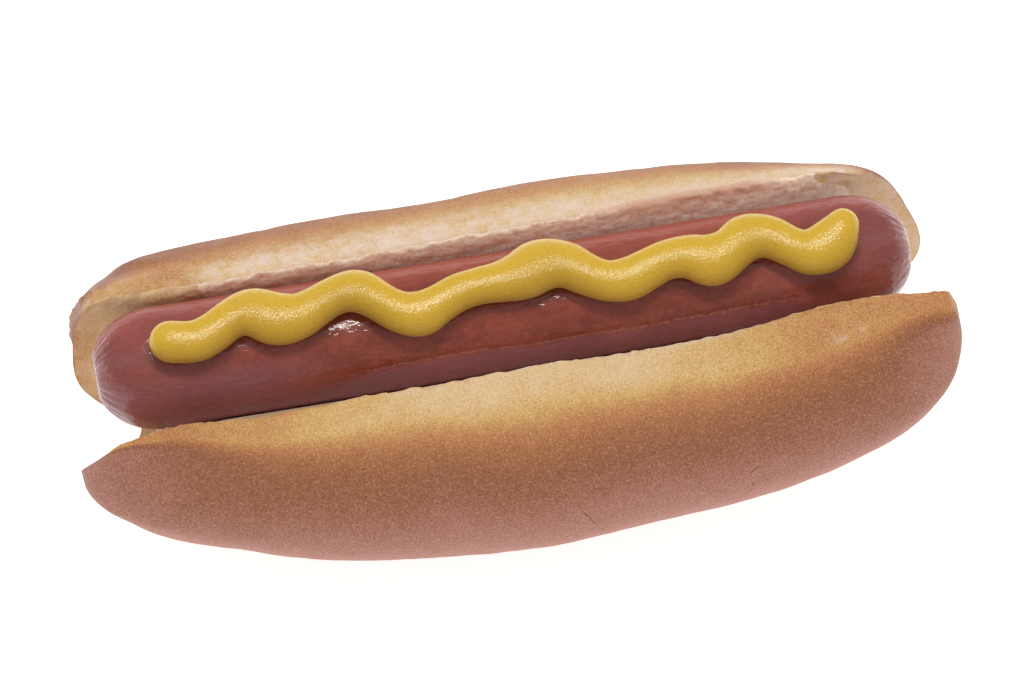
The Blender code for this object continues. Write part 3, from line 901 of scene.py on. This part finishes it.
def tear_crumb(inner, q, edge, settings):
    """Adds the torn crumb's lumps where the cut faces lie open."""
    clear = np.maximum(smoothstep(q, *OPEN_ZONE), smoothstep(np.abs(inner[..., 0]), *OPEN_ENDS))
    clear = clear * smoothstep(1 - edge, *CRUMB_FADE)
    push = settings.crumb_relief * sum_grains(inner, CRUMB_LUMPS) * clear
    return inner - push[..., None] * grid_normals(inner)


def rim_tears(s, t, x, settings):
    """How far up each point of the front rim and of the back rim is torn."""
    along = np.stack([x, np.sign(s) * RIM_TEARS_APART + 0 * x, 0 * x], -1)
    tears = sum_grains(along[[0, -1]], RIM_TEARS) * smoothstep(1 - np.abs(t), *RIM_TEARS_FADE)
    return settings.rim_tear * tears


def roughen_bun(s, t, inner, outer, settings):
    """Adds the risen crust's unevenness, the torn crumb and the ragged rims."""
    inner, outer = soften_rims(inner, outer)
    zone = s + 0 * t
    edge = np.maximum(np.abs(zone), np.abs(t) + 0 * s)
    r_in, r_out = rim_distance(inner), rim_distance(outer)
    lines, folds = crust_lines(zone, inner[..., 0], r_out)
    front_tear, back_tear = rim_tears(s, t, inner[..., 0], settings)
    outer = roughen_crust(outer, edge, lines, folds, settings)
    inner = tear_crumb(inner, np.abs(zone), edge, settings)
    # The rims' tear fades over the next millimetre on both faces
    for layer, r in ((inner, r_in), (outer, r_out)):
        for half, tear in ((zone < 0, front_tear), (zone > 0, back_tear)):
            layer[..., 2] += tear * np.where(half, hump(r, RIM_TEARS_REACH), 0)
    low, high = (np.array(corner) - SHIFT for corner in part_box("bun"))
    return np.clip(inner, low, high), np.clip(outer, low, high), r_in, r_out, lines


def face_middles(grid):
    """The value of a grid at the middle of each of its faces."""
    return (grid[:-1, :-1] + grid[1:, 1:]).ravel() / 2


def bun_slots(x, zone, r):
    """The material of each face, cut faces first: 0 is crust and 1 is crumb."""
    place, across, away = (face_middles(grid) for grid in (x, zone, r))
    jagged = JAG_REACH * waves(place / JAG_LENGTH, across * JAGS_ACROSS, 21)
    # The back rim is torn towards the right, so that crumb shows above it
    torn_width = TORN_WIDTH * torn_rim(place, across > 0)
    torn = (torn_width > LEAST_TORN_WIDTH) & (away < torn_width + TORN_JAGS * jagged)
    # The knife left the crust of the ends whole, so that it wraps over the rims there
    place = place + jagged
    crusty = (place < BACK_LEFT_WRAP) & (across > BACK_LEFT_ZONE)
    crusty |= place < LEFT_WRAP
    crusty |= across > mix(*BACK_RIGHT_ZONE, smoothstep(place, *BACK_RIGHT_WRAP))
    crusty |= across < mix(*FRONT_ZONE, smoothstep(place, *FRONT_RIGHT_WRAP))
    crusty |= across < mix(*FRONT_ZONE, smoothstep(-place, *FRONT_LEFT_WRAP))
    return np.concatenate([np.where(crusty, 0, 1), np.where(torn, 1, 0)])


def bun_fields(x, outer, zone, r_in, r_out, lines):
    """What the crust and the crumb read, as a grid over the cut faces and a grid over the crust."""
    back = zone > 0
    bake = bake_field(outer, r_out, back)
    at_edge = np.zeros(zone.shape, bool)
    at_edge[[0, -1]] = True
    at_edge[:, [0, -1]] = True
    wrapped = WRAP_BAKE_LEFT + WRAP_BAKE_TIP * smoothstep(-x, *WRAP_BAKE_SPAN)
    wrapped = np.where(x < 0, wrapped, WRAP_BAKE_RIGHT)
    # Painted shade on the torn crumb along the back rim
    torn_shade = TORN_SHADE_SHARE * torn_rim(x, back)
    offset, weight = lines
    return {
        "bake": (np.where(at_edge, bake, wrapped), bake),
        "sheen_and_flakes": (sheen_and_flake_field(x, 0 * x, back), sheen_and_flake_field(x, r_out, back)),
        "torn_shade": (torn_shade * hump(r_in, TORN_SHADE_WIDTH), torn_shade * hump(r_out, TORN_SHADE_WIDTH)),
        "crack_offset": (offset, offset),
        "crack_weight": (0 * weight, weight),
    }


def build_bun(settings):
    s, t, inner, outer = bun_grids()
    inner, outer, r_in, r_out, lines = roughen_bun(s, t, inner, outer, settings)
    x, zone = inner[..., 0], s + 0 * t
    cut_index = np.arange(zone.size).reshape(zone.shape)
    middle = (slice(1, -1), slice(1, -1))
    crust_index = cut_index.copy()
    crust_index[middle] = zone.size + np.arange(zone[middle].size).reshape(zone[middle].shape)
    points = np.concatenate([inner.reshape(-1, 3), outer[middle].reshape(-1, 3)])
    faces = np.concatenate([quads(cut_index), quads(crust_index)[:, ::-1]]).tolist()
    materials = [crust_material(settings), crumb_material(settings)]
    piece = new_piece("bread_bun", points, faces, materials, bun_slots(x, zone, r_out))
    fields = bun_fields(x, outer, zone, r_in, r_out, lines)
    for name, (cut, crust) in fields.items():
        keep_values(piece, name, np.concatenate([cut.ravel(), crust[middle].ravel()]))
    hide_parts("bun")
    return piece


def ring_places():
    """Where along the frank its rings are, closer together towards both tips."""
    span = np.linspace(-1, 1, FRANK_ALONG) * (FRANK_LENGTH / 2 - END_ROUNDING)
    rounding = END_ROUNDING * (1 - np.cos(np.linspace(FIRST_RING_ANGLE, math.pi / 2, FRANK_END_RINGS)))
    ends = FRANK_LENGTH / 2 - rounding
    return np.concatenate([-ends, span[1:-1], ends[::-1]])[:, None]


def crease_line(x, signed):
    """Distance from the casing's crease, upwards, and how strong the crease is."""
    start, end = CREASE_ENDS
    fade = smoothstep(x, start, start + CREASE_FADE) * (1 - smoothstep(x, end - CREASE_FADE, end))
    wander = CREASE_WANDER * waves(x / CREASE_WANDER_LENGTH, 0 * x, 33)
    return (signed - CREASE_ANGLE) * FRANK_RADIUS + wander, fade


def casing_radius(along, around, signed, settings):
    """The casing's radius, with its pleats and gathers at the tips, its crease and its settled side."""
    x = along + FRANK_SHIFT
    from_tip = FRANK_LENGTH / 2 - np.abs(along)
    tightness = smoothstep(-from_tip, -0.6 * END_ROUNDING, 0)
    pleat = 1 - 0.3 * PLEAT_DEPTH / FRANK_RADIUS * tightness * (1 + np.cos(PLEATS * around))
    radius = frank_radius(x) * pleat
    # Finer gathers run out from each tip, as sharp creases between round folds
    sway = waves(around, from_tip / GATHER_SWAY_LENGTH, 31)
    folds = np.abs(np.sin(GATHERS * around + 1.2 * sway + np.sign(along))) ** GATHER_SHARPNESS
    small = np.abs(np.sin(SMALL_GATHERS * around + 2 * sway)) ** GATHER_SHARPNESS
    depth = settings.gathers * (1 - folds + 0.5 * (1 - small) * (0.6 + 0.4 * sway))
    gather = smoothstep(-from_tip, *GATHER_SPAN)
    radius = radius - gather * depth * np.minimum(1, radius / (0.6 * FRANK_RADIUS))
    crease, crease_fade = crease_line(x, signed)
    radius = radius - CREASE_DEPTH * crease_fade * hump(crease, CREASE_WIDTH)
    # Its left half settles a little against the front cut face
    settled = smoothstep(-x, *SETTLED_START) * (1 - smoothstep(-x, *SETTLED_END))
    return radius + SETTLED_BY * settled * hump(signed - SETTLED_ANGLE, SETTLED_ANGLE_WIDTH)


def casing_fields(along, signed):
    """What the casing's material reads at each point of its rings."""
    x = along + FRANK_SHIFT
    from_tip = FRANK_LENGTH / 2 - np.abs(along)
    crease, crease_fade = crease_line(x, signed)
    below_crease = smoothstep(crease / mix(*DULL_EDGES, crease_fade), 0.5, -1.5)
    duller = mix(*DULL_SHARES, smoothstep(x, *DULL_SHARE_SPAN)) * below_crease
    # Low on the front left, a painted reflection of the white floor
    left_front_reflection = smoothstep(-x, *LEFT_FRONT_SPAN) * smoothstep(-signed, *LEFT_FRONT_ANGLES)
    dull = np.maximum(LEFT_FRONT_REFLECTION * left_front_reflection, TIP_DULL * smoothstep(-from_tip, *TIP_DULL_SPAN))
    # Painted light: the back side, which the softbox lights most, is painted redder
    painted_back_light = BACK_PAINTED_LIGHT * smoothstep(signed, *BACK_PAINTED_LIGHT_ANGLES)
    return {
        "crease_offset": crease,
        "crease_weight": crease_fade,
        "painted_light_and_dryness": np.maximum(painted_back_light, TIP_RED * smoothstep(-from_tip, *TIP_RED_SPAN)),
        "dull_band_and_floor_reflection": np.maximum(duller, dull),
        "fat": FAT_SHARE * hump(signed - FAT_ANGLE, FAT_ANGLE_WIDTH),
    }


def build_frankfurter(settings):
    along = ring_places()
    around = np.linspace(0, 2 * math.pi, FRANK_AROUND, endpoint=False)[None, :]
    signed = (around + math.pi) % (2 * math.pi) - math.pi
    radius = casing_radius(along, around, signed, settings)
    drawn_in = PINCH_DEPTH * hump(radius, PINCH_RADIUS)
    x = along + FRANK_SHIFT
    axis_y, axis_z = frank_axis(x)
    y, z = axis_y + radius * np.sin(around), axis_z + radius * np.cos(around)
    grid = np.stack(np.broadcast_arrays(x - np.sign(along) * drawn_in, y, z), -1)
    ripple = grain(grid.reshape(-1, 3) * RIPPLE_STRETCH, RIPPLE_SIZE, 12).reshape(radius.shape)
    outward = np.stack([0 * ripple, np.sin(around) + 0 * ripple, np.cos(around) + 0 * ripple], -1)
    grid = grid + (settings.ripple * ripple)[..., None] * outward
    index = np.arange(radius.size).reshape(radius.shape)
    faces = quads(np.concatenate([index, index[:, :1]], 1)).tolist()
    tips = []
    for ring, side in ((index[0, ::-1], -1), (index[-1], 1)):
        number = radius.size + len(tips)
        tip_at = FRANK_SHIFT + side * (FRANK_LENGTH / 2 - PINCH_DEPTH)
        tips.append((tip_at, *frank_axis(tip_at)))
        faces.extend([int(a), int(b), number] for a, b in zip(ring, np.roll(ring, -1)))
    points = np.concatenate([grid.reshape(-1, 3), tips])
    piece = new_piece("sausage", points, faces, [casing_material(settings)])
    for name, values in casing_fields(along, signed).items():
        keep_values(piece, name, np.append(np.broadcast_to(values, radius.shape), [0, 0]))
    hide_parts("frankfurter")
    return piece


def mustard_path():
    """Closely spaced points along the mustard's line, and half the bead's width at each."""
    share = np.linspace(0, 1, PATH_POINTS)
    return [through(values, share) for values in zip(*MUSTARD_LINE)]


def melt(at):
    """Weights that even out a row of values along the bead, less and less towards its ends."""
    reach = np.minimum(MELT, END_MELT * np.minimum(at - at[0], at[-1] - at)) + LEAST_MELT
    weight = np.exp(-(((at.T - at) / reach) ** 2) / 2) * np.gradient(at[:, 0])
    return weight / weight.sum(1, keepdims=True)


def mustard_rings(slices, steps):
    """Sections of the bead across the frank, each from the front edge over the top and back below."""
    along, across, radius = mustard_path()
    first, last = (along - radius).min(), (along + radius).max()
    from_tip = 1 - np.cos(np.linspace(0, math.pi / 2, MUSTARD_END_SLICES + 2)[1:-1])
    left_end, right_end = first + radius[0] * from_tip, last - radius[-1] * from_tip[::-1]
    between = np.linspace(first + radius[0], last - radius[-1], slices)
    at = np.concatenate([left_end, between, right_end])[:, None]
    room = radius**2 - (at - along) ** 2
    chord = np.sqrt(np.maximum(room, 0))
    back = np.where(room > 0, across + chord, -np.inf).max(1, keepdims=True)
    front = np.where(room > 0, across - chord, np.inf).min(1, keepdims=True)
    even_out = melt(at)
    back, front = even_out @ back, even_out @ front
    over = mix(front, back, (1 - np.cos(np.linspace(0, math.pi, steps + 1))) / 2)
    to_line = ((at - along) ** 2)[:, None] + (over[:, :, None] - across) ** 2
    close = even_out @ np.maximum(1 - to_line / radius**2, 0).max(-1)
    top = BEAD_BELLY + (1 - BEAD_BELLY) * np.sqrt(close)
    below = BEAD_BELLY * (1 - np.sqrt(1 - (1 - close) ** 2))
    over = np.concatenate([over, over[:, -2:0:-1]], 1)
    lift = np.concatenate([top, below[:, -2:0:-1]], 1) * BEAD_HEIGHT
    x = at - FRANK_LENGTH / 2 + FRANK_SHIFT
    angle = over / (FRANK_RADIUS + BEAD_BELLY * BEAD_HEIGHT)
    distance = frank_radius(x) + MUSTARD_GAP + lift
    axis_y, axis_z = frank_axis(x)
    return np.stack([x + 0 * over, axis_y + distance * np.sin(angle), axis_z + distance * np.cos(angle)], -1)


def build_mustard(settings):
    rings = mustard_rings(MUSTARD_ALONG, MUSTARD_ACROSS)
    rows, columns = rings.shape[:2]
    index = np.arange(rows * columns).reshape(rows, columns)
    faces = quads(np.concatenate([index, index[:, :1]], 1)).tolist()
    for ring, number in ((index[0], rows * columns), (index[-1, ::-1], rows * columns + 1)):
        faces.extend([int(a), int(b), number] for a, b in zip(ring, np.roll(ring, -1)))
    points = np.concatenate([rings.reshape(-1, 3), rings[[0, -1]].mean(1)])
    piece = new_piece("mustard_line", points, faces, [mustard_material(settings)])
    around = np.arange(columns) / columns
    # Painted shade along the front foot of each ring
    shaded_foot = np.where(around < 0.5, 1 - smoothstep(around, *FOOT_ABOVE), smoothstep(around, *FOOT_BELOW))
    keep_values(piece, "shaded_foot", np.append(np.tile(FOOT_SHARE * shaded_foot, rows), [0, 0]))
    relax = piece.modifiers.new("paste_settles", "SMOOTH")
    relax.factor = SETTLING_SHARE
    relax.iterations = settings.settling
    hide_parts("mustard")
    return piece


def camera_axes(settings):
    """Right, up and towards-the-camera directions of the photograph's view."""
    turn, rise = settings.azimuth, settings.elevation
    right = Vector((math.cos(turn), math.sin(turn), 0))
    towards = Vector((math.sin(turn) * math.cos(rise), -math.cos(turn) * math.cos(rise), math.sin(rise)))
    return right, towards.cross(right), towards


def build_camera(settings):
    right, up, towards = camera_axes(settings)
    aim = Vector(SHIFT) + Vector((0, 0, FRANK_AXIS_HEIGHT))
    data = bpy.data.cameras.new("camera")
    camera = bpy.data.objects.new("camera", data)
    camera.matrix_world = Matrix.Translation(aim + towards * settings.distance) @ (
        Matrix((right, up, towards)).transposed().to_4x4()
    )
    data.lens = data.sensor_width * settings.distance / (IMAGE_WIDTH * MM_PER_PIXEL * MM)
    data.shift_x = (IMAGE_WIDTH / 2 - AIM_PIXEL[0]) / IMAGE_WIDTH
    data.shift_y = (AIM_PIXEL[1] - IMAGE_HEIGHT / 2) / IMAGE_WIDTH
    data.clip_start = CLIP_START
    bpy.context.scene.collection.objects.link(camera)
    bpy.context.scene.camera = camera


def build_light(name, place, size, power, aim):
    data = bpy.data.lights.new(name, "AREA")
    data.shape = "RECTANGLE"
    data.size, data.size_y = size
    data.energy = power
    light = bpy.data.objects.new(name, data)
    light.location = place
    light.rotation_euler = (Vector(aim) - Vector(place)).to_track_quat("-Z", "Y").to_euler()
    bpy.context.scene.collection.objects.link(light)


def build_floor(settings):
    """A white painted board that also gives off light, like a light table, so that its shadows are faint."""
    half = settings.floor_size / 2
    corners = [(-half, -half, 0), (half, -half, 0), (half, half, 0), (-half, half, 0)]
    mesh = bpy.data.meshes.new("floor")
    mesh.from_pydata(corners, [], [(0, 1, 2, 3)])
    material, tree, shader, _ = new_material("white_board")
    finish = {
        "Base Color": (*linear("#f4f4f4"), 1),
        "Roughness": 0.9,
        "Specular IOR Level": 0.0,
        "Emission Color": WHITE,
        "Emission Strength": settings.floor_glow,
    }
    feed(tree, shader, finish)
    mesh.materials.append(material)
    floor = bpy.data.objects.new("floor", mesh)
    floor.location.z = -FLOOR_DROP
    bpy.context.scene.collection.objects.link(floor)


def build_stage(settings):
    build_camera(settings)
    build_floor(settings)
    place = (SOFTBOX_SHIFT, math.sin(settings.key_slant), math.cos(settings.key_slant))
    build_light("overhead_softbox", place, SOFTBOX_SIZE, settings.key_power, SOFTBOX_AIM)
    world = bpy.data.worlds.new("white_room")
    world.use_nodes = True
    background = world.node_tree.nodes["Background"]
    background.inputs["Color"].default_value = WHITE
    background.inputs["Strength"].default_value = settings.room_light
    bpy.context.scene.world = world
    bpy.context.scene.view_settings.view_transform = "Standard"


def length_property(name, description, millimetres):
    return bpy.props.FloatProperty(
        name=name,
        description=description,
        default=millimetres * MM,
        precision=5,
        unit="LENGTH",
        subtype="DISTANCE",
    )


def angle_property(name, description, degrees):
    return bpy.props.FloatProperty(
        name=name,
        description=description,
        default=math.radians(degrees),
        subtype="ANGLE",
    )


def number_property(name, description, value, unit="NONE"):
    return bpy.props.FloatProperty(name=name, description=description, default=value, unit=unit)


def colour_property(name, description, hex_colour):
    return bpy.props.FloatVectorProperty(
        name=name,
        description=description,
        default=linear(hex_colour),
        min=0,
        max=1,
        subtype="COLOR",
    )


class BunSettings(bpy.types.PropertyGroup):
    crust_relief: length_property("Crust relief", "Height of the risen crust's soft unevenness", 0.16)
    crumb_relief: length_property("Crumb relief", "Height of the torn crumb on the cut faces", 0.16)
    rim_tear: length_property("Rim tear", "How far the rims are torn up and down", 0.45)
    pale: colour_property("Pale crust", "Unbaked crust where loaves touched", "#e3c397")
    straw: colour_property("Straw crust", "Barely baked crust", "#d5ad67")
    golden: colour_property("Golden crust", "Crust between pale and brown", "#c08550")
    tan: colour_property("Tan crust", "Crust that has begun to brown", "#a4673f")
    brown: colour_property("Brown crust", "Most of the crust", "#8e573b")
    # Partly the crust's own underside colour, partly painted reflection of the white floor
    underside: colour_property("Underside crust", "Pinker crust low on the sides", "#ab7466")
    # A painted sheen along the back rim, and the pale of the front rim's flaked crust
    sheen_and_flakes: colour_property("Bloom", "Pale sheen of flour and fat by the back rim", "#e7d2c5")
    crumb_light: colour_property("Light crumb", "Cell walls of the crumb", "#ffefdf")
    crumb_mid: colour_property("Crumb", "The crumb between walls and pores", "#fae1cb")
    crumb_shade: colour_property("Dark crumb", "Pores of the crumb", "#e5baa2")
    # Painted shade on the torn crumb just under the crust
    crumb_torn_shade: colour_property("Toasted crumb", "Torn crumb just under the crust", "#c99a80")


class FrankfurterSettings(bpy.types.PropertyGroup):
    gathers: length_property("Gathers", "Depth of the fine folds at the tips", 0.3)
    ripple: length_property("Ripple", "Height of the casing's slight unevenness", 0.09)
    casing: colour_property("Casing", "Most of the casing", "#863e2e")
    rosy: colour_property("Rosy casing", "Lighter patches", "#9b4b38")
    deep: colour_property("Deep casing", "Darker patches", "#6f2f23")
    # Painted light: the redder tone painted on the back side, where the softbox lights it
    red: colour_property("Red casing", "Least smoked, along the back", "#b85f50")
    # Duller below the crease; low on the front left, painted reflection of the white floor
    dull: colour_property("Dull casing", "Low on the front", "#8b5760")


class MustardSettings(bpy.types.PropertyGroup):
    settling: bpy.props.IntProperty(name="Settling", description="How much the paste has settled", default=6)
    paste: colour_property("Paste", "Most of the mustard", "#d5aa26")
    bright: colour_property("Bright paste", "Lighter flecks", "#dbb12c")
    seed: colour_property("Ground seed", "Darker specks", "#cb9f20")
    # Painted shade along the bead's front foot
    shaded_foot: colour_property("Foot", "Deeper colour along the bead's front foot", "#89603a")


class StageSettings(bpy.types.PropertyGroup):
    azimuth: angle_property("Azimuth", "Camera's turn about the hot dog", -11.98)
    elevation: angle_property("Elevation", "Camera's height angle", 60)
    distance: length_property("Distance", "From the camera to the frankfurter", 900)
    key_power: number_property("Key light", "Power of the overhead softbox", 4.6, "POWER")
    key_slant: angle_property("Key slant", "Softbox's lean to the back", 4)
    room_light: number_property("Room light", "Strength of the white room", 0.55)
    floor_size: length_property("Floor size", "Side of the square floor", 6000)
    floor_glow: number_property("Floor glow", "Light given off by the floor", 0.7)


class HOTDOG_OT_bun(bpy.types.Operator):
    """Build the bun's crust and crumb"""

    bl_idname = "hotdog.bun"
    bl_label = "Bun"

    def execute(self, context):
        build_bun(context.scene.hotdog_bun)
        return {"FINISHED"}


class HOTDOG_OT_frankfurter(bpy.types.Operator):
    """Build the frankfurter in its casing"""

    bl_idname = "hotdog.frankfurter"
    bl_label = "Frankfurter"

    def execute(self, context):
        build_frankfurter(context.scene.hotdog_frankfurter)
        return {"FINISHED"}


class HOTDOG_OT_mustard(bpy.types.Operator):
    """Build the squeezed line of mustard"""

    bl_idname = "hotdog.mustard"
    bl_label = "Mustard"

    def execute(self, context):
        build_mustard(context.scene.hotdog_mustard)
        return {"FINISHED"}


class HOTDOG_OT_stage(bpy.types.Operator):
    """Set up the floor, light and camera"""

    bl_idname = "hotdog.stage"
    bl_label = "Stage"

    def execute(self, context):
        build_stage(context.scene.hotdog_stage)
        return {"FINISHED"}


class HOTDOG_PT_panel(bpy.types.Panel):
    bl_idname = "HOTDOG_PT_panel"
    bl_label = "Hot dog"
    bl_space_type = "VIEW_3D"
    bl_region_type = "UI"
    bl_category = "Hot dog"

    def draw(self, context):
        for operator in OPERATORS:
            self.layout.operator(operator.bl_idname)
        for name in SETTINGS:
            group = getattr(context.scene, name)
            box = self.layout.box()
            for key in group.__annotations__:
                box.prop(group, key)


SETTINGS = {
    "hotdog_bun": BunSettings,
    "hotdog_frankfurter": FrankfurterSettings,
    "hotdog_mustard": MustardSettings,
    "hotdog_stage": StageSettings,
}
OPERATORS = (
    HOTDOG_OT_bun,
    HOTDOG_OT_frankfurter,
    HOTDOG_OT_mustard,
    HOTDOG_OT_stage,
)


def register():
    for group in (*SETTINGS.values(), *OPERATORS, HOTDOG_PT_panel):
        bpy.utils.register_class(group)
    for name, group in SETTINGS.items():
        setattr(bpy.types.Scene, name, bpy.props.PointerProperty(type=group))


def unregister():
    for name in SETTINGS:
        delattr(bpy.types.Scene, name)
    for group in reversed((*SETTINGS.values(), *OPERATORS, HOTDOG_PT_panel)):
        bpy.utils.unregister_class(group)


def main():
    register()
    bpy.ops.hotdog.bun()
    bpy.ops.hotdog.frankfurter()
    bpy.ops.hotdog.mustard()
    bpy.ops.hotdog.stage()


if __name__ == "__main__":
    main()
